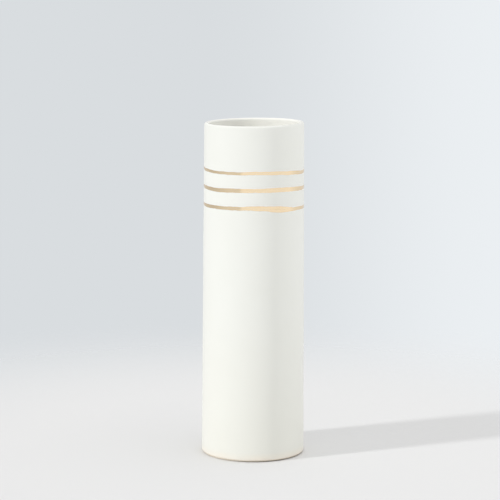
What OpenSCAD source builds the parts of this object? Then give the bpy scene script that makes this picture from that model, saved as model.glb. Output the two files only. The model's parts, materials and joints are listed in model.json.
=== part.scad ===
// A tall cylinder vase, hand-built in porcelain: a wall rolled from one slab, a base disc and a coil
// that seals the corner between them, under an outer glaze and a liner glaze, with three gold bands.
// Millimetres, +Z up. The origin is the centre of the foot, on the surface that the vase stands on.

/* [Body] */
// Height of the finished vase, over the rim
height = 292; // [150:1:400]
// Finished outside diameter at the rim
rim_d = 86.5; // [80:0.5:92]
// Finished outside diameter at the foot
foot_d = 90; // [87:0.1:100]
// Finished wall thickness at the rim, which is rounded over its whole thickness
wall_t = 3.8; // [3:0.1:6]

/* [Base] */
// Thickness of the base disc, which the wall stands on
base_t = 6; // [4:0.5:10]
// Height of the bevel round the bottom edge
bevel_h = 1.6; // [0.5:0.1:1.8]
// Width of the bevel round the bottom edge
bevel_w = 1.3; // [0.5:0.1:3]
// Depth of the hollow under the base
hollow_h = 0.8; // [0.4:0.1:2]
// Width of the ring that the vase stands on
foot_ring_w = 8; // [4:0.5:15]
// Width of the slope between the ring and the hollow
hollow_slope = 4; // [1:0.5:8]
// Height and width of the clay coil in the inside corner
coil_w = 6; // [3:0.5:10]
// Radius of the coil's hollow face
coil_arc_r = 9; // [7.5:0.5:20]

/* [Glaze] */
// Thickness of the outer glaze, which is sprayed on
glaze_t = 0.3; // [0.2:0.05:0.6]
// Thickness of the liner glaze, which is poured in and out again
liner_t = 0.5; // [0.45:0.05:0.8]
// Height of the bare clay left below the outer glaze
bare_h = 2; // [1.8:0.1:5]

/* [Gold] */
// Depth of the upper band's centre below the rim
first_band = 40.3; // [10:0.1:80]
// Distance from one band's centre to the next
band_pitch = 15; // [8:0.5:25]
// Widths of the upper, middle and lower bands
band_w = [2.6, 3.2, 2.9]; // [1:0.1:6]
// Thickness of the gold
gold_t = 0.12; // [0.1:0.01:0.3]

/* [Hidden] */

foot_r = foot_d / 2;
rim_r = rim_d / 2;
bore_r = rim_r - wall_t;            // finished inside, a true cylinder
crest_r = rim_r - wall_t / 2;       // middle of the finished wall at the rim
crest_z = height - wall_t / 2;      // where the rim's rounding starts
stand_r = foot_r - glaze_t - bevel_w;

// The clay alone, inside both coats of glaze
clay_bore_r = bore_r + liner_t;
clay_rim_r = rim_r - glaze_t;

// The coil's hollow face is an arc centred on the corner's diagonal, this far from wall and floor.
coil_centre = coil_w / 2 + sqrt(pow(coil_arc_r, 2) / 2 - pow(coil_w, 2) / 4);

$fn = 180;

// Finished outside radius at height z: a slight cone from the foot to the start of the rim's rounding.
function outside_r(z) = foot_r + (rim_r - foot_r) * z / crest_z;
function clay_r(z) = outside_r(z) - glaze_t;

// The half round on top of a wall that runs from one radius to another.
module rim_round(inner_r, outer_r) {
    r = (outer_r - inner_r) / 2;
    translate([inner_r + r, crest_z])
        intersection() {
            circle(r = r);
            translate([-r, 0]) square([2 * r, r]);
        }
}

// The glaze over the rim, from one radius out to another.
module rim_glaze(from_r, to_r) {
    intersection() {
        difference() {
            rim_round(bore_r, rim_r);
            rim_round(clay_bore_r, clay_rim_r);
        }
        translate([from_r, crest_z]) square([to_r - from_r, wall_t]);
    }
}

// The corner between wall and floor that the coil fills, cut back by an arc. gap is the glaze over it.
module corner_fill(gap) {
    difference() {
        translate([clay_bore_r - coil_centre, base_t]) square(coil_centre);
        translate([clay_bore_r - coil_centre, base_t + coil_centre]) circle(r = coil_arc_r - gap);
    }
}

// The hollow inside, running on up past the rim. gap is the thickness of the glaze that lines it.
module inside_space(gap) {
    difference() {
        translate([0, base_t + gap]) square([clay_bore_r - gap, height]);
        corner_fill(gap);
    }
}

module porcelain_wall() {
    color("ivory") rotate_extrude() {
        polygon([
            [clay_bore_r, base_t], [clay_r(base_t), base_t],
            [clay_rim_r, crest_z], [clay_bore_r, crest_z],
        ]);
        rim_round(clay_bore_r, clay_rim_r);
    }
}

module base_disc() {
    color("antiquewhite") rotate_extrude() polygon([
        [0, hollow_h], [stand_r - foot_ring_w - hollow_slope, hollow_h],
        [stand_r - foot_ring_w, 0], [stand_r, 0],
        [clay_r(bevel_h), bevel_h], [clay_r(base_t), base_t], [0, base_t],
    ]);
}

module corner_coil() {
    color("linen") rotate_extrude() corner_fill(0);
}

module outer_glaze() {
    color("white") rotate_extrude() {
        polygon([
            [clay_r(bare_h), bare_h], [outside_r(bare_h), bare_h],
            [rim_r, crest_z], [clay_rim_r, crest_z],
        ]);
        rim_glaze(crest_r, rim_r);
    }
}

module liner_glaze() {
    color("floralwhite") rotate_extrude() {
        intersection() {
            difference() {
                inside_space(0);
                inside_space(liner_t);
            }
            square([clay_bore_r, crest_z]);
        }
        rim_glaze(bore_r, crest_r);
    }
}

module gold_band(i) {
    middle = height - first_band - i * band_pitch;
    low = middle - band_w[i] / 2;
    high = middle + band_w[i] / 2;
    color("goldenrod") rotate_extrude() polygon([
        [outside_r(low), low], [outside_r(low) + gold_t, low],
        [outside_r(high) + gold_t, high], [outside_r(high), high],
    ]);
}

porcelain_wall();
base_disc();
corner_coil();
outer_glaze();
liner_glaze();
gold_band(0);  // gold_band_upper
gold_band(1);  // gold_band_middle
gold_band(2);  // gold_band_lower
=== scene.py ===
# %% [markdown]
# # A porcelain vase with three gold bands
#
# The real vase is a tall cylinder built by hand. A slab of porcelain is rolled into the wall and stood
# on a round base, and a coil of clay seals the corner between them. After a first firing it gets two
# glazes: a glossy liner that is poured inside, and a satin white that is sprayed outside. Last, three
# bands of liquid gold are painted round it with a brush and fired on.
#
# This file models each of those pieces as a potter makes it: rings are drawn up from a circle, then a
# lattice leans and dents all the pieces together, because a hand-built pot is never quite true.

# %% Load the frame
import json
import math

import bpy
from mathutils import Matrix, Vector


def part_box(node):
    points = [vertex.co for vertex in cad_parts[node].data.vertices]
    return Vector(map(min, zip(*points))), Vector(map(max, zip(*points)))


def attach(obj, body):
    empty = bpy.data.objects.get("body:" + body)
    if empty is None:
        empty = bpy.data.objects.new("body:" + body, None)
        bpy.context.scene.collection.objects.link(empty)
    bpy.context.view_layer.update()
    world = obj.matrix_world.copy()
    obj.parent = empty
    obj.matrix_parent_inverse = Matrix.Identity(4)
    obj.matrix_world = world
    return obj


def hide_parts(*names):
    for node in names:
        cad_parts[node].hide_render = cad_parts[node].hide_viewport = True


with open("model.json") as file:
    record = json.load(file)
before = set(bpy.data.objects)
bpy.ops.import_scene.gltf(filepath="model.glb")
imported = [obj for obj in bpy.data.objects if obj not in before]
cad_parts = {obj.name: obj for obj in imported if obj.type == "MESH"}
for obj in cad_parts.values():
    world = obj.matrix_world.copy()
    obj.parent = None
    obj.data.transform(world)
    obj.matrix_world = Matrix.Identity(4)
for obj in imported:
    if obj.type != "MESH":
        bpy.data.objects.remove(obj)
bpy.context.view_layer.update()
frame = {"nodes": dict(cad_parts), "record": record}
print("CAD nodes:", ", ".join(sorted(frame["nodes"])))

# %% [markdown]
# ## Sizes
#
# The frame knows how big everything is, so nothing is measured twice. The box of each CAD node gives
# its heights and its outside radius, and the mouth's mount gives the radius inside. What is left are
# the few small shapes that a box can't tell: the bevel and ring of the foot, and the coil's hollow.

# %% Read the sizes from the frame
MM = 0.001

mounts = {mount["name"]: mount for mount in frame["record"]["mounts"]}
bore_radius = mounts["mouth"]["dims"]["r_mm"] * MM

disc_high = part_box("base_disc")[1]
coil_low, coil_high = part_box("corner_coil")
outer_low, outer_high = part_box("outer_glaze")
liner_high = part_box("liner_glaze")[1]

rim_height = outer_high.z
crest_radius = liner_high.x                # the two glazes meet on the crest of the rim
rim_round = crest_radius - bore_radius     # the rim is rounded over the whole wall
crest_height = rim_height - rim_round
rim_radius = crest_radius + rim_round
foot_radius = outer_high.x
glaze_line = outer_low.z                   # the outer glaze stops here, above the bare foot
base_height = disc_high.z
outer_coat = outer_high.x - disc_high.x
liner_coat = coil_high.x - bore_radius
coil_height = coil_high.z - coil_low.z

bevel_height = 1.6 * MM
bevel_width = 1.3 * MM
hollow_height = 0.8 * MM
foot_ring_width = 8 * MM
hollow_slope = 4 * MM
coil_hollow_radius = 9 * MM


def outside_radius(height):
    """The finished outside radius, which shrinks a little from the foot to the rim."""
    return foot_radius + (rim_radius - foot_radius) * min(height / crest_height, 1)


print(f"{rim_height / MM:.1f} mm high, {2 * rim_radius / MM:.1f} mm across the rim, "
      f"{2 * bore_radius / MM:.1f} mm inside")

# %% [markdown]
# ## The camera
#
# It looks slightly down on the vase from the height of seated eyes, with a long lens, so that the sides
# of the cylinder stay almost parallel. A quarter of a degree of roll makes the vase lean a hair to the
# right, as in any view that is taken by hand.

# %% Add the camera
camera_distance = 1.8
camera_height = 0.4567
camera_pitch = math.radians(8.764)
camera_yaw = math.radians(0.14)
camera_roll = math.radians(0.255)

bpy.ops.object.camera_add(
    location=(0, -camera_distance, camera_height),
    rotation=(math.pi / 2 - camera_pitch, -camera_roll, camera_yaw),
)
camera = bpy.context.active_object
camera.name = "camera"
camera.data.lens = 150.1
camera.data.sensor_width = 36
bpy.context.scene.camera = camera
print(f"camera: {camera_distance} m away and {camera_height} m up, {camera.data.lens} mm lens")

# %% [markdown]
# ## Helpers for modelling
#
# Operators work on whatever is selected, and loading the frame leaves its objects selected. So each
# step starts by deselecting everything, and then picks its own vertices by where they are.

# %% Selecting and finishing


def start_clean():
    """Leaves edit mode and deselects every object."""
    if bpy.context.mode != "OBJECT":
        bpy.ops.object.mode_set(mode="OBJECT")
    bpy.ops.object.select_all(action="DESELECT")


def edit_vertices(piece, wanted):
    """Opens the piece in edit mode with just the vertices selected for which wanted(vertex) is true."""
    start_clean()
    piece.select_set(True)
    bpy.context.view_layer.objects.active = piece
    bpy.ops.object.mode_set(mode="EDIT")
    bpy.ops.mesh.select_mode(type="VERT")
    bpy.ops.mesh.select_all(action="DESELECT")
    bpy.ops.object.mode_set(mode="OBJECT")
    for vertex in piece.data.vertices:
        vertex.select = wanted(vertex)
    bpy.ops.object.mode_set(mode="EDIT")


def apply_modifier(piece, kind, **settings):
    """Adds a modifier with these settings and applies it at once."""
    start_clean()
    piece.select_set(True)
    bpy.context.view_layer.objects.active = piece
    modifier = piece.modifiers.new(kind.lower(), kind)
    for name, value in settings.items():
        setattr(modifier, name, value)
    bpy.ops.object.modifier_apply(modifier=modifier.name)


def smooth(piece, degrees=40):
    """Shades the piece smooth, but keeps edges sharper than this angle crisp."""
    start_clean()
    piece.select_set(True)
    bpy.context.view_layer.objects.active = piece
    bpy.ops.object.shade_smooth_by_angle(angle=math.radians(degrees))


# %% [markdown]
# ## Drawing up a round shape
#
# Every clay and glaze piece is round about the same axis. It could be a profile with a Screw modifier,
# but on the wheel a shape grows ring by ring, and extruding one ring after another works the same way:
# each ring is a copy of the last, moved up and scaled to its new radius. An outline is a list of
# (radius, height) points, and its round parts come from an arc formula.

# %% Outline and ring helpers
RING_SEGMENTS = 256


def arc(radius, height, size, from_degrees, to_degrees, steps):
    """Points on an arc about (radius, height). 0 degrees points outwards and 90 up."""
    angles = [
        math.radians(from_degrees + (to_degrees - from_degrees) * step / steps) for step in range(steps + 1)
    ]
    return [(radius + size * math.cos(angle), height + size * math.sin(angle)) for angle in angles]


def straight(start, end, steps):
    """Points from start to end, both included."""
    return [
        tuple(a + (b - a) * step / steps for a, b in zip(start, end)) for step in range(steps + 1)
    ]


def without_repeats(outline):
    """The outline with each point that only repeats the one before it left out."""
    kept = outline[:1]
    for point in outline[1:]:
        if math.dist(point, kept[-1]) > 0.001 * MM:
            kept.append(point)
    return kept


def draw_up(name, outline, on_axis=False):
    """A closed round piece. It closes on itself like a tyre, or with on_axis at a pole at each end."""
    start_clean()
    outline = without_repeats(outline)
    radius, height = outline[0]
    bpy.ops.mesh.primitive_circle_add(
        vertices=RING_SEGMENTS, radius=radius, location=(0, 0, height),
        fill_type="TRIFAN" if on_axis else "NOTHING",
    )
    piece = bpy.context.active_object
    piece.name = piece.data.name = name
    bpy.ops.object.transform_apply(location=True)
    bpy.ops.object.mode_set(mode="EDIT")
    bpy.ops.mesh.select_mode(type="EDGE")
    bpy.ops.mesh.select_all(action="DESELECT")
    bpy.ops.mesh.select_non_manifold()
    for next_radius, next_height in outline[1:]:
        bpy.ops.mesh.extrude_edges_move(
            TRANSFORM_OT_translate={"value": (0, 0, next_height - height)}
        )
        bpy.ops.transform.resize(
            value=(next_radius / radius, next_radius / radius, 1), center_override=(0, 0, next_height)
        )
        radius, height = next_radius, next_height
    if on_axis:
        bpy.ops.mesh.extrude_edges_move()
        bpy.ops.mesh.merge(type="CENTER")
    else:
        bpy.ops.mesh.select_all(action="DESELECT")
        bpy.ops.mesh.select_non_manifold()
        bpy.ops.mesh.bridge_edge_loops()
    bpy.ops.mesh.select_all(action="SELECT")
    bpy.ops.mesh.normals_make_consistent(inside=False)
    bpy.ops.object.mode_set(mode="OBJECT")
    print(f"{name}: {len(outline)} rings, {len(piece.data.polygons)} faces")
    return piece


# %% [markdown]
# ## The porcelain body
#
# The wall is a plain tube with a rounded top. Both glazes hide it, but it is made all the same, as the
# body that they coat.

# %% Wall
clay_bore = bore_radius + liner_coat
clay_rim_round = (rim_radius - outer_coat - clay_bore) / 2
clay_rim_middle = clay_bore + clay_rim_round
WALL_RINGS = 40


def clay_side(low, high, rings):
    """The clay's outside, one coat of glaze inside the finished surface."""
    return straight(
        (outside_radius(low) - outer_coat, low), (outside_radius(high) - outer_coat, high), rings
    )


wall = draw_up(
    "clay_wall",
    straight((clay_bore, crest_height), (clay_bore, base_height), WALL_RINGS)
    + clay_side(base_height, crest_height, WALL_RINGS)
    + arc(clay_rim_middle, crest_height, clay_rim_round, 0, 180, 16)[:-1],
)

# %% [markdown]
# The base is a disc. Its bottom edge is bevelled with a wet sponge, which leaves the thin line of
# shadow under the foot, and its middle is pressed in a little, so that the pot stands on a ring and
# doesn't rock. The sponge leaves no sharp edge anywhere, so each corner gets a small arc.

# %% Base disc
seam = 0.05 * MM             # the top stays this far below the wall, so that no two faces coincide
pole_radius = 6 * MM         # the first and last ring round the middle of the disc
top_ring = 1 * MM            # from the edge of the top to its outer ring
stand_radius = outside_radius(0) - outer_coat - bevel_width
ring_inside = stand_radius - foot_ring_width
bevel_slope = math.degrees(math.atan2(bevel_height, bevel_width))
sponge_round = 0.5 * MM
clay_foot_radius = outside_radius(bevel_height) - outer_coat

base = draw_up(
    "clay_base",
    straight((pole_radius, hollow_height), (ring_inside - hollow_slope, hollow_height), 6)
    + straight((ring_inside - hollow_slope, hollow_height), (ring_inside, 0), 4)
    + straight((ring_inside, 0), (stand_radius - sponge_round, 0), 4)
    + arc(stand_radius - sponge_round, sponge_round, sponge_round, -90, bevel_slope - 90, 4)
    + arc(clay_foot_radius - sponge_round, bevel_height, sponge_round, bevel_slope - 90, 0, 4)
    + clay_side(bevel_height, base_height - seam, 5)
    + straight(
        (clay_foot_radius - top_ring, base_height - seam), (pole_radius, base_height - seam), 5
    ),
    on_axis=True,
)

# %% [markdown]
# The coil is pressed into the inside corner with a finger, which leaves it hollow.

# %% Corner coil
coil_middle = coil_height / 2 + math.sqrt(coil_hollow_radius**2 / 2 - coil_height**2 / 4)
hollow_centre = (clay_bore - coil_middle, base_height + coil_middle)
COIL_STEPS = 10


def coil_hollow(coat, steps):
    """The coil's hollow face from the floor up to the wall, under a coat of glaze of this thickness."""
    size = coil_hollow_radius - coat
    reach = coil_middle - coat
    lowest = math.degrees(math.asin(reach / size))
    return arc(*hollow_centre, size, -lowest, lowest - 90, steps)[::-1]


coil_face = coil_hollow(0, COIL_STEPS)
coil = draw_up("clay_coil", coil_face + [(clay_bore, base_height)])

# %% [markdown]
# ## The two glazes
#
# A glaze is a coat of glass. Each one is modelled as a thin shell of its real thickness that follows
# the clay on one side and has its own surface on the other, so the rounded rim and the rolled edge
# above the foot are real shapes and not a trick of the shading. The outer glaze ends in a soft bead
# where it was wiped off the foot before firing.

# %% Outer glaze
GLAZE_RINGS = 72
bead = outer_coat / 2

outer_glaze = draw_up(
    "satin_outer_glaze",
    arc(outside_radius(glaze_line) - bead, glaze_line + bead, bead, -180, 0, 6)
    + straight(
        (outside_radius(glaze_line + 2 * bead), glaze_line + 2 * bead),
        (rim_radius, crest_height), GLAZE_RINGS,
    )
    + arc(crest_radius, crest_height, rim_round, 0, 90, 14)
    + [point for point in arc(clay_rim_middle, crest_height, clay_rim_round, 90, 0, 10)
       if point[0] >= crest_radius]
    + clay_side(crest_height, glaze_line + bead, WALL_RINGS),
)

# %% [markdown]
# The liner starts under the middle of the floor, follows the clay out and up to the crest of the rim,
# and comes back down as its own surface. It pools a little in the corner, where it drains to last.

# %% Liner glaze
liner_floor = base_height + liner_coat
pool = 0.4 * MM              # extra thickness in the corner
pool_above = 1 * MM          # how far the pool fades up the wall
pool_across = 3 * MM         # and in over the floor
pole_radius = 4 * MM

liner_glaze = draw_up(
    "gloss_liner_glaze",
    straight((pole_radius, base_height), (coil_face[0][0], base_height), 4)
    + coil_face
    + straight((clay_bore, coil_face[-1][1]), (clay_bore, crest_height), WALL_RINGS)
    + [point for point in arc(clay_rim_middle, crest_height, clay_rim_round, 180, 90, 10)
       if point[0] <= crest_radius]
    + arc(crest_radius, crest_height, rim_round, 90, 180, 14)
    + straight((bore_radius, crest_height), (bore_radius, coil_face[-1][1] + pool_above), GLAZE_RINGS)
    + coil_hollow(liner_coat + pool, 14)[::-1]
    + straight((coil_face[0][0] - pool_across, liner_floor), (pole_radius, liner_floor), 6),
    on_axis=True,
)

# %% [markdown]
# ## The gold bands
#
# Liquid gold is painted with a thin brush while the vase turns on a banding wheel. The line is steady
# but not perfect: it wanders by a millimetre or two, and it is thicker where the brush was full and where
# the end of the stroke runs over its start. A ring with a wavy edge could be drawn with a texture, but
# the gold is a real layer, so each band is one brush stroke. The section of a stroke is a flat lens
# whose inner half sinks into the glaze. It is spun round the vase a little more than once, and then
# nudged up or down at even steps with proportional editing, which blends each nudge into the next.

# %% Paint a band
SECTION_POINTS = 10        # round the lens
SECTION_DEGREES = 1.5      # from one section to the next
END_TAPER = 0.55           # width of a stroke's very end
gold_proud = 0.12 * MM     # how far the gold stands out of the glaze


def paint_band(name, node, start_azimuth, sweep, wander, weight):
    """One brush stroke over a CAD band. wander and weight give, at even steps along the stroke, how many
    millimetres it strays up and how many times its usual width it has."""
    low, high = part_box(node)
    middle = (low.z + high.z) / 2
    radius = outside_radius(middle)
    start_clean()
    start = math.radians(start_azimuth)
    bpy.ops.mesh.primitive_circle_add(
        vertices=SECTION_POINTS, radius=1,
        location=(radius * math.sin(start), -radius * math.cos(start), middle),
        rotation=(math.pi / 2, 0, start - math.pi / 2),
    )
    band = bpy.context.active_object
    band.name = band.data.name = name
    band.scale = (gold_proud, (high.z - low.z) / 2, 1)
    bpy.ops.object.transform_apply(location=True, rotation=True, scale=True)

    sections = round(sweep / SECTION_DEGREES)
    bpy.ops.object.mode_set(mode="EDIT")
    bpy.ops.mesh.select_all(action="SELECT")
    # a positive spin turns clockwise seen from above, and azimuths count the other way
    bpy.ops.mesh.spin(steps=sections, angle=-math.radians(sweep), center=(0, 0, 0), axis=(0, 0, 1))
    bpy.ops.object.mode_set(mode="OBJECT")

    # the spin adds its sections in order, so a section is a run of vertices
    steps = len(wander) - 1
    reach = 2 * radius * math.sin(math.radians(sweep / steps) / 2)
    for step, (rise, width) in enumerate(zip(wander, weight)):
        turned = sweep * step / steps
        section = round(sections * step / steps)
        edit_vertices(band, lambda vertex: vertex.index // SECTION_POINTS == section)
        blend_in = dict(
            use_proportional_edit=True, use_proportional_connected=True,
            proportional_edit_falloff="SMOOTH", proportional_size=reach,
        )
        angle = start + math.radians(turned)
        here = (radius * math.sin(angle), -radius * math.cos(angle), middle)
        bpy.ops.transform.resize(value=(1, 1, width), center_override=here, **blend_in)
        # past a full turn the brush runs over its own start, so it lies one coat higher
        lift = gold_proud / 2 if turned >= 360 else 0
        bpy.ops.transform.translate(
            value=(lift * math.sin(angle), -lift * math.cos(angle), rise * MM), **blend_in
        )

    # round ends: the last section at each end is drawn in and filled
    for end in (0, sections):
        edit_vertices(band, lambda vertex: vertex.index // SECTION_POINTS == end)
        bpy.ops.transform.resize(value=(1, 1, END_TAPER))
        bpy.ops.mesh.edge_face_add()
    bpy.ops.mesh.select_all(action="SELECT")
    bpy.ops.mesh.normals_make_consistent(inside=False)
    bpy.ops.object.mode_set(mode="OBJECT")
    print(f"{name}: {sections} sections, {len(band.data.polygons)} faces")
    return band


# %% [markdown]
# The upper and the middle band start and end at the back. The lower band starts at the front, where the
# wet gold sags down to the right, and the end of its stroke passes over that start, which leaves a
# broad patch of gold.

# %% The three strokes
upper_band = paint_band(
    "gold_stroke_upper", "gold_band_upper", start_azimuth=-190, sweep=384,
    wander=[0.4, 0.2, -0.2, 0.2, 0.5, -0.4, -0.9, -0.8, -0.2, -0.4, -1.2, -2.1, -1.4, -0.6, 0.1, 0.5, 0.6],
    weight=[0.9, 0.9, 1.1, 1.0, 1.0, 1.0, 0.9, 1.0, 1.1, 1.2, 1.3, 1.2, 1.0, 1.0, 1.1, 0.9, 0.8],
)
middle_band = paint_band(
    "gold_stroke_middle", "gold_band_middle", start_azimuth=-190, sweep=384,
    wander=[-0.3, 0.0, 0.4, 0.3, 0.1, -0.6, -1.0, -0.3, -0.1, 0.1, -0.2, -0.9, -0.2, 0.2, -0.3, -0.5, -0.6],
    weight=[0.9, 1.0, 1.1, 1.0, 0.9, 1.0, 1.1, 1.1, 1.1, 1.2, 1.2, 1.1, 1.0, 1.1, 1.0, 0.9, 0.9],
)
lower_band = paint_band(
    "gold_stroke_lower", "gold_band_lower", start_azimuth=-14, sweep=424,
    wander=[-1.0, -1.3, -3.1, -2.6, -2.9, -2.0, -1.4, -0.9, -0.4, 0.0,
            0.1, 0.0, -0.7, -1.2, -1.0, -0.7, 0.1, -0.3, -2.0],
    weight=[0.6, 0.9, 1.0, 1.1, 1.05, 1.0, 1.0, 1.1, 1.0, 0.9,
            1.0, 1.0, 1.0, 1.0, 1.0, 1.1, 1.15, 1.1, 1.0],
)

# %% [markdown]
# The gold's edges also have a fine waver from single brush hairs. A Displace modifier with a cloud
# texture moves them up and down by a fraction of a millimetre. The clouds are finer than the band is
# wide, so its two edges wander on their own and its width changes too.

# %% Fine waver of the gold's edges
hair_waver = bpy.data.textures.new("brush_hair_waver", "CLOUDS")
hair_waver.noise_scale = 4 * MM
waver = 0.6 * MM
for band in (upper_band, middle_band, lower_band):
    apply_modifier(
        band, "DISPLACE", texture=hair_waver, texture_coords="LOCAL", direction="Z",
        strength=waver, mid_level=0.5,
    )
print(f"the edges waver by up to {waver / 2 / MM:.1f} mm")

# %% [markdown]
# ## Made by hand
#
# So far every piece is perfectly round. A lattice is a cage whose control points pull on whatever is
# inside it, and the same cage bends every piece, so the coats stay on the clay and the gold stays on
# the glaze. The left side of the cage's top is pulled down, which leaves the rim about a millimetre
# lower there, as if the slab had been cut by eye. Other rings of points press the wall in or out by up
# to a tenth of a millimetre.

# %% The lattice
cage_size = 2 * foot_radius + 4 * MM      # a little wider than the foot
LATTICE_ACROSS, LATTICE_UP = 4, 13
rim_drop = 1.5 * MM          # of the cage's top left; the rim follows it about two thirds of the way

start_clean()
bpy.ops.object.add(type="LATTICE", location=(0, 0, rim_height / 2))
cage = bpy.context.active_object
cage.name = "hand_of_the_potter"
cage.data.points_u = cage.data.points_v = LATTICE_ACROSS
cage.data.points_w = LATTICE_UP
cage.scale = (cage_size, cage_size, rim_height)

# out (positive) or in, in millimetres, for each level of points from the foot to the rim
presses = [0, 0.05, -0.1, -0.05, 0.1, 0.05, -0.1, 0.05, 0.1, -0.1, 0.0, 0.05, 0.0]
for index, point in enumerate(cage.data.points):
    level = index // LATTICE_ACROSS**2
    rest = point.co.copy()
    moved = rest.copy()
    press = presses[level] * MM / cage_size
    side = 1 if level % 2 else -1
    moved.x += press * (1 if rest.x > 0 else -1)
    moved.y += press * side * (1 if rest.y > 0 else -1)
    if level == LATTICE_UP - 1:
        moved.z -= rim_drop / rim_height * (0.5 - rest.x)
    point.co_deform = moved

pieces = {
    "porcelain_wall": wall,
    "base_disc": base,
    "corner_coil": coil,
    "outer_glaze": outer_glaze,
    "liner_glaze": liner_glaze,
    "gold_band_upper": upper_band,
    "gold_band_middle": middle_band,
    "gold_band_lower": lower_band,
}
for piece in pieces.values():
    apply_modifier(piece, "LATTICE", object=cage)
    smooth(piece)
bpy.data.objects.remove(cage)
print(f"{len(pieces)} pieces leaned by a cage whose top drops {rim_drop / MM} mm at the left")

# %% [markdown]
# ## Materials
#
# Colours are written the way a paint chart gives them, as hex values, and one function turns them into
# the linear numbers that the renderer works with. One more function adds a node, sets it up and links
# it, so that each material reads as a short recipe.

# %% Material helpers


def colour(hex_value):
    """A linear colour from an sRGB hex value such as "#F4F4EE"."""
    channels = [int(hex_value[i:i + 2], 16) / 255 for i in (1, 3, 5)]
    return [c / 12.92 if c <= 0.04045 else ((c + 0.055) / 1.055) ** 2.4 for c in channels] + [1]


def add_node(tree, kind, inputs=None, **settings):
    """Adds a node, applies its settings, and fills its inputs with values or with other nodes' outputs."""
    node = tree.nodes.new(kind)
    for name, value in settings.items():
        setattr(node, name, value)
    for name, value in (inputs or {}).items():
        if isinstance(value, bpy.types.NodeSocket):
            tree.links.new(value, node.inputs[name])
        else:
            node.inputs[name].default_value = value
    return node


def new_material(name):
    """An empty material and its node tree, with the output and the shader already joined."""
    material = bpy.data.materials.new(name)
    material.use_nodes = True
    tree = material.node_tree
    tree.nodes.clear()
    shader = add_node(tree, "ShaderNodeBsdfPrincipled")
    add_node(tree, "ShaderNodeOutputMaterial", {"Surface": shader.outputs["BSDF"]})
    position = add_node(tree, "ShaderNodeTexCoord").outputs["Object"]
    return material, tree, shader, position


# noise scales are in features per metre, so a size in millimetres becomes 1000 / size
def per_metre(size_mm):
    return 1000 / size_mm


# %% [markdown]
# ### Satin white glaze
#
# The outside has a satin glaze on white porcelain. Tiny crystals in it scatter the light, so it shows a
# broad soft sheen and no sharp reflections. It was sprayed on, which leaves a faint orange peel about
# 3 mm wide and slow changes of thickness over a few centimetres: where the coat is thicker it is a touch
# creamier. Towards the foot the colour is also painted darker and warmer, as painted shade where the key
# light falls off down the vase.

# %% Satin glaze
satin_glaze, tree, shader, position = new_material("satin_white_glaze_sprayed_on_porcelain")

thickness = add_node(
    tree, "ShaderNodeTexNoise",
    {"Vector": position, "Scale": per_metre(45), "Detail": 3, "Roughness": 0.5},
)
tint = add_node(
    tree, "ShaderNodeMix",
    {0: thickness.outputs["Fac"], 6: colour("#F4F5F0"), 7: colour("#F0F1EA")}, data_type="RGBA",
)
height = add_node(tree, "ShaderNodeSeparateXYZ", {"Vector": position}).outputs["Z"]
# painted shade: the colour is mixed darker and warmer towards the foot, where the key light falls off down
# the vase
foot_shade_ramp = add_node(
    tree, "ShaderNodeMapRange",
    {"Value": height, "From Min": 10 * MM, "From Max": 140 * MM, "To Min": 0.6, "To Max": 0},
)
tint_and_foot_shade = add_node(
    tree, "ShaderNodeMix",
    {0: foot_shade_ramp.outputs["Result"], 6: tint.outputs[2], 7: colour("#EFEEE4")}, data_type="RGBA",
)

# the coat was wiped thin just above the foot, here more and there less, and the warm clay shows through
near_foot = add_node(
    tree, "ShaderNodeMapRange",
    {"Value": height, "From Min": glaze_line, "From Max": 9 * MM, "To Min": 1, "To Max": 0},
    interpolation_type="SMOOTHSTEP",
)
wiped = add_node(
    tree, "ShaderNodeMapRange",
    {"Value": thickness.outputs["Fac"], "From Min": 0.35, "From Max": 0.65, "To Min": 0.3, "To Max": 0.9},
)
thin = add_node(
    tree, "ShaderNodeMath", {0: near_foot.outputs["Result"], 1: wiped.outputs["Result"]},
    operation="MULTIPLY",
)
worn = add_node(
    tree, "ShaderNodeMix",
    {0: thin.outputs["Value"], 6: tint_and_foot_shade.outputs[2], 7: colour("#F5EDDF")}, data_type="RGBA",
)
tree.links.new(worn.outputs[2], shader.inputs["Base Color"])

orange_peel = add_node(
    tree, "ShaderNodeTexNoise",
    {"Vector": position, "Scale": per_metre(3.2), "Detail": 2, "Roughness": 0.45},
)
sheen_map = add_node(
    tree, "ShaderNodeMapRange",
    {"Value": orange_peel.outputs["Fac"], "From Min": 0.3, "From Max": 0.7, "To Min": 0.36, "To Max": 0.44},
)
tree.links.new(sheen_map.outputs["Result"], shader.inputs["Roughness"])
peel_bump = add_node(
    tree, "ShaderNodeBump",
    {"Height": orange_peel.outputs["Fac"], "Strength": 0.25, "Distance": 0.05 * MM},
)
tree.links.new(peel_bump.outputs["Normal"], shader.inputs["Normal"])
shader.inputs["IOR"].default_value = 1.5
print(f"{satin_glaze.name}: {len(tree.nodes)} nodes")

# %% [markdown]
# ### Clear gloss liner
#
# Inside is a clear, glossy, food-safe glaze over the same white clay. It is poured, so it runs: its
# waves are long and stretched downwards.

# %% Liner glaze
liner_gloss, tree, shader, position = new_material("clear_gloss_liner_glaze_poured")

stretched = add_node(tree, "ShaderNodeMapping", {"Vector": position, "Scale": (1, 1, 0.25)})
runs = add_node(
    tree, "ShaderNodeTexNoise",
    {"Vector": stretched.outputs["Vector"], "Scale": per_metre(12), "Detail": 2, "Roughness": 0.5},
)
tint = add_node(
    tree, "ShaderNodeMix",
    {0: runs.outputs["Fac"], 6: colour("#FCFBF6"), 7: colour("#F9F9F2")}, data_type="RGBA",
)
tree.links.new(tint.outputs[2], shader.inputs["Base Color"])
run_bump = add_node(
    tree, "ShaderNodeBump", {"Height": runs.outputs["Fac"], "Strength": 0.3, "Distance": 0.15 * MM}
)
tree.links.new(run_bump.outputs["Normal"], shader.inputs["Normal"])
shader.inputs["Roughness"].default_value = 0.12
shader.inputs["IOR"].default_value = 1.52
print(f"{liner_gloss.name}: {len(tree.nodes)} nodes")

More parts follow.
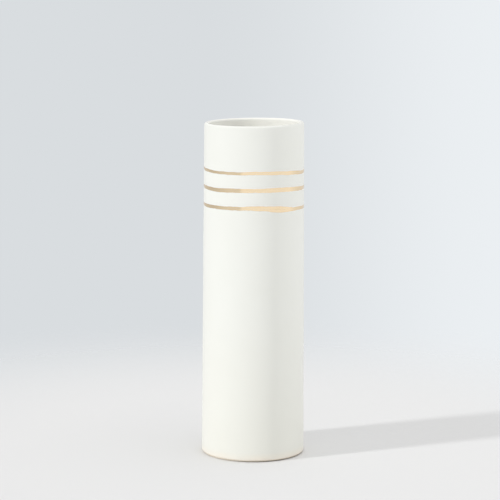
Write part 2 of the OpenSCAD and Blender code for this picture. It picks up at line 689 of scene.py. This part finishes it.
# %% [markdown]
# ### Bare porcelain
#
# Where no glaze covers it, fired porcelain is matte and a little warm, like unpolished marble. It was
# sponged, which brings its finest sand to the surface: grains of about half a millimetre, and slow
# warm stains where the iron in the clay gathered at the foot.

# %% Bare clay
bare_porcelain, tree, shader, position = new_material("bare_fired_porcelain_sponged")

stain = add_node(
    tree, "ShaderNodeTexNoise",
    {"Vector": position, "Scale": per_metre(18), "Detail": 4, "Roughness": 0.6},
)
grain = add_node(
    tree, "ShaderNodeTexNoise",
    {"Vector": position, "Scale": per_metre(0.6), "Detail": 3, "Roughness": 0.6},
)
warm = add_node(
    tree, "ShaderNodeMix",
    {0: stain.outputs["Fac"], 6: colour("#F1EBE0"), 7: colour("#E6DAC6")}, data_type="RGBA",
)
speckled = add_node(
    tree, "ShaderNodeMix",
    {0: 0.2, 6: warm.outputs[2], 7: grain.outputs["Color"]}, data_type="RGBA", blend_type="SOFT_LIGHT",
)
# painted shade: the lowest millimetre is darkened to a grey brown, most on the side away from the key
# light, as painted contact shadow where the foot meets the floor
place = add_node(tree, "ShaderNodeSeparateXYZ", {"Vector": position})
low_down = add_node(
    tree, "ShaderNodeMapRange",
    {"Value": place.outputs["Z"], "From Min": 0.6 * MM, "From Max": 1.2 * MM, "To Min": 1, "To Max": 0},
    interpolation_type="SMOOTHSTEP",
)
away_from_key = add_node(
    tree, "ShaderNodeMapRange",
    {"Value": place.outputs["X"], "From Min": -30 * MM, "From Max": 5 * MM, "To Min": 0, "To Max": 0.8},
    interpolation_type="SMOOTHSTEP",
)
painted_contact_shade = add_node(
    tree, "ShaderNodeMath", {0: low_down.outputs["Result"], 1: away_from_key.outputs["Result"]},
    operation="MULTIPLY",
)
clay_with_contact_shade = add_node(
    tree, "ShaderNodeMix",
    {0: painted_contact_shade.outputs["Value"], 6: speckled.outputs[2], 7: colour("#8F8373")}, data_type="RGBA",
)
tree.links.new(clay_with_contact_shade.outputs[2], shader.inputs["Base Color"])
grain_bump = add_node(
    tree, "ShaderNodeBump", {"Height": grain.outputs["Fac"], "Strength": 0.5, "Distance": 0.06 * MM}
)
tree.links.new(grain_bump.outputs["Normal"], shader.inputs["Normal"])
shader.inputs["Roughness"].default_value = 0.85
print(f"{bare_porcelain.name}: {len(tree.nodes)} nodes")

# %% [markdown]
# ### Fired gold lustre
#
# Liquid bright gold fires to a film a few microns thick that takes on the surface of the glaze below
# it. It is a true metal, so its colour is in its reflections: pale where it mirrors something white,
# brown where it mirrors something dark. The brush leaves streaks along the stroke, thinner and paler
# than the rest. Scaling the coordinates up along the height squeezes the noise into such lines.

# %% Gold
gold_lustre, tree, shader, position = new_material("fired_gold_lustre_brushed_on")

along_stroke = add_node(tree, "ShaderNodeMapping", {"Vector": position, "Scale": (1, 1, 18)})
streaks = add_node(
    tree, "ShaderNodeTexNoise",
    {"Vector": along_stroke.outputs["Vector"], "Scale": per_metre(14), "Detail": 4, "Roughness": 0.6},
)
gold_tone = add_node(
    tree, "ShaderNodeMix",
    {0: streaks.outputs["Fac"], 6: colour("#E9D0A8"), 7: colour("#F3E1C6")}, data_type="RGBA",
)
tree.links.new(gold_tone.outputs[2], shader.inputs["Base Color"])
gold_roughness = add_node(
    tree, "ShaderNodeMapRange",
    {"Value": streaks.outputs["Fac"], "From Min": 0.3, "From Max": 0.7, "To Min": 0.1, "To Max": 0.22},
)
tree.links.new(gold_roughness.outputs["Result"], shader.inputs["Roughness"])
streak_bump = add_node(
    tree, "ShaderNodeBump", {"Height": streaks.outputs["Fac"], "Strength": 0.3, "Distance": 0.03 * MM}
)
tree.links.new(streak_bump.outputs["Normal"], shader.inputs["Normal"])
shader.inputs["Metallic"].default_value = 1
print(f"{gold_lustre.name}: {len(tree.nodes)} nodes")

# %% [markdown]
# ## Hand the pieces to the frame
#
# Each piece stands for its CAD node, rides on the one body there is, and gets the material of its
# finish.

# %% Attach
finishes = {
    "porcelain_wall": ("bare_porcelain", bare_porcelain),
    "base_disc": ("bare_porcelain", bare_porcelain),
    "corner_coil": ("bare_porcelain", bare_porcelain),
    "outer_glaze": ("satin_glaze", satin_glaze),
    "liner_glaze": ("liner_glaze", liner_gloss),
    "gold_band_upper": ("gold_lustre", gold_lustre),
    "gold_band_middle": ("gold_lustre", gold_lustre),
    "gold_band_lower": ("gold_lustre", gold_lustre),
}
for node, piece in pieces.items():
    slot_name, material = finishes[node]
    piece.data.materials.append(material)
    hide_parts(node)
    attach(piece, "root")
    print(f"{piece.name} stands for {node}, in {material.name}")

# %% [markdown]
# ## The studio
#
# The vase stands on a pale floor that fades into a cool grey room, so there is no horizon to draw the
# eye. The fade is in the floor's material: it mixes into transparency with the distance from the vase.

# %% Floor
floor_solid, floor_clear = 0.2, 0.62      # where the fade starts and ends, in metres from the vase
start_clean()
# the floor lies a hair low, so that it doesn't coincide with the foot's flat ring
bpy.ops.mesh.primitive_circle_add(
    vertices=96, radius=floor_clear, fill_type="TRIFAN", location=(0, 0, -0.05 * MM)
)
floor = bpy.context.active_object
floor.name = "pale_floor"

floor_paint, tree, shader, position = new_material("pale_matte_floor")
shader.inputs["Base Color"].default_value = colour("#E6E6E6")
shader.inputs["Roughness"].default_value = 0.9
distance = add_node(tree, "ShaderNodeVectorMath", {0: position}, operation="LENGTH")
fade = add_node(
    tree, "ShaderNodeMapRange",
    {"Value": distance.outputs["Value"], "From Min": floor_solid, "From Max": floor_clear},
    interpolation_type="SMOOTHSTEP",
)
see_through = add_node(tree, "ShaderNodeBsdfTransparent")
blend = add_node(
    tree, "ShaderNodeMixShader",
    {0: fade.outputs["Result"], 1: shader.outputs["BSDF"], 2: see_through.outputs["BSDF"]},
)
for node in tree.nodes:
    if node.bl_idname == "ShaderNodeOutputMaterial":
        tree.links.new(blend.outputs["Shader"], node.inputs["Surface"])
floor.data.materials.append(floor_paint)
print(f"{floor.name}: gone {floor_clear} m from the vase")

# %% [markdown]
# The world is three rooms in one. The camera sees a cool backdrop, a little lighter to the right.
# Matte surfaces are lit by a soft white room. And the gold, which is a mirror, sees a room with corners,
# because a metal in a perfectly even room looks like beige paint.
#
# First the backdrop. A world's generated coordinates are the direction that a ray flies in.

# %% Backdrop
world = bpy.data.worlds.new("soft_room")
bpy.context.scene.world = world
world.use_nodes = True
tree = world.node_tree
tree.nodes.clear()
direction = add_node(tree, "ShaderNodeTexCoord").outputs["Generated"]
across = add_node(tree, "ShaderNodeSeparateXYZ", {"Vector": direction})
left_to_right = add_node(
    tree, "ShaderNodeMapRange",
    {"Value": across.outputs["X"], "From Min": -0.03, "From Max": 0.12}, interpolation_type="SMOOTHSTEP",
)
backdrop = add_node(
    tree, "ShaderNodeMix",
    {0: left_to_right.outputs["Result"], 6: colour("#D9DDE0"), 7: colour("#EBEFF2")}, data_type="RGBA",
)
walls = add_node(tree, "ShaderNodeBackground", {"Color": backdrop.outputs[2]})
print("backdrop: two cool greys")

# %% [markdown]
# The light of the room is a ramp with the height, much brighter overhead than at eye level, so that it
# also reaches down into the vase. It is tilted a little to the right, and below the horizon it goes over
# into the light that a pale floor sends back up.

# %% Room light
WHITE = (1, 1, 1, 1)
HORIZON_LEVEL, ZENITH_LEVEL = 0.32, 1.15
SKY_TILT = 0.34          # how much brighter it is to the right
GROUND_LEVEL, GROUND_TILT = 0.88, 0.14

above = add_node(
    tree, "ShaderNodeMapRange",
    {"Value": across.outputs["Z"], "From Min": 0, "From Max": 1,
     "To Min": HORIZON_LEVEL, "To Max": ZENITH_LEVEL},
)
sky = add_node(
    tree, "ShaderNodeMath", {0: across.outputs["X"], 1: SKY_TILT, 2: above.outputs["Result"]},
    operation="MULTIPLY_ADD",
)
ground = add_node(
    tree, "ShaderNodeMath", {0: across.outputs["X"], 1: GROUND_TILT, 2: GROUND_LEVEL},
    operation="MULTIPLY_ADD",
)
horizon = add_node(
    tree, "ShaderNodeMapRange", {"Value": across.outputs["Z"], "From Min": -0.05, "From Max": 0}
)
level = add_node(
    tree, "ShaderNodeMix",
    {0: horizon.outputs["Result"], 2: ground.outputs["Value"], 3: sky.outputs["Value"]},
)
room_light = add_node(
    tree, "ShaderNodeBackground", {"Color": WHITE, "Strength": level.outputs[0]}
)
print(f"room light: {HORIZON_LEVEL} at eye level, {ZENITH_LEVEL} overhead")

# %% [markdown]
# A mirror sees grey walls behind and to the left, and white ones from the front round to the right, with
# a sharp corner between them at -30 degrees. The ramp turns with the azimuth: 0 is towards the front, and
# positive is to its right.

# %% Mirrored walls
MIRROR_LEVEL = 1.05
WALL_CORNERS = {
    -180: 0.7, -110: 0.62, -60: 0.78, -32: 0.76, -28: 1.0, 60: 0.95, 90: 1.0, 115: 0.85, 180: 0.7,
}

back = add_node(tree, "ShaderNodeMath", {0: across.outputs["Y"], 1: -1}, operation="MULTIPLY")
azimuth = add_node(
    tree, "ShaderNodeMath", {0: across.outputs["X"], 1: back.outputs["Value"]}, operation="ARCTAN2"
)
turn = add_node(
    tree, "ShaderNodeMapRange",
    {"Value": azimuth.outputs["Value"], "From Min": -math.pi, "From Max": math.pi},
)
wall_greys = add_node(tree, "ShaderNodeValToRGB", {"Fac": turn.outputs["Result"]})
ramp = wall_greys.color_ramp
for index, (degrees, grey) in enumerate(WALL_CORNERS.items()):
    place = (degrees + 180) / 360
    stop = ramp.elements[index] if index < 2 else ramp.elements.new(place)
    stop.position = place
    stop.color = (grey, grey, grey, 1)
mirrored = add_node(
    tree, "ShaderNodeBackground", {"Color": wall_greys.outputs["Color"], "Strength": MIRROR_LEVEL}
)
print(f"mirrored walls: {len(WALL_CORNERS)} stops round the room")

# %% Join the three rooms
ray = add_node(tree, "ShaderNodeLightPath")
lit_or_mirrored = add_node(
    tree, "ShaderNodeMixShader",
    {0: ray.outputs["Is Glossy Ray"], 1: room_light.outputs["Background"],
     2: mirrored.outputs["Background"]},
)
room = add_node(
    tree, "ShaderNodeMixShader",
    {0: ray.outputs["Is Camera Ray"], 1: lit_or_mirrored.outputs["Shader"],
     2: walls.outputs["Background"]},
)
add_node(tree, "ShaderNodeOutputWorld", {"Surface": room.outputs["Shader"]})
print(f"{world.name}: {len(tree.nodes)} nodes")

# %% [markdown]
# One soft key light from the front left gives the cylinder its shape. A sun lamp has parallel light, and
# its angle says how soft the shadow's edge is. Its own highlight would be a hard spot on the gold, so
# mirrors don't see it: they see the bright side of the mirrored walls in its place.

# %% Key light
key_azimuth = -66          # degrees, to the left of the front
key_elevation = 22
key_softness = 5           # degrees across, ten times the sun's own
key_strength = 1.55

start_clean()
bpy.ops.object.light_add(
    type="SUN", rotation=(math.radians(90 - key_elevation), 0, math.radians(key_azimuth))
)
key = bpy.context.active_object
key.name = "soft_key"
key.data.angle = math.radians(key_softness)
key.data.energy = key_strength
key.visible_glossy = False
bpy.context.scene.view_settings.view_transform = "Standard"
print(f"key: {key_azimuth} degrees round, {key_elevation} degrees up, strength {key_strength}")
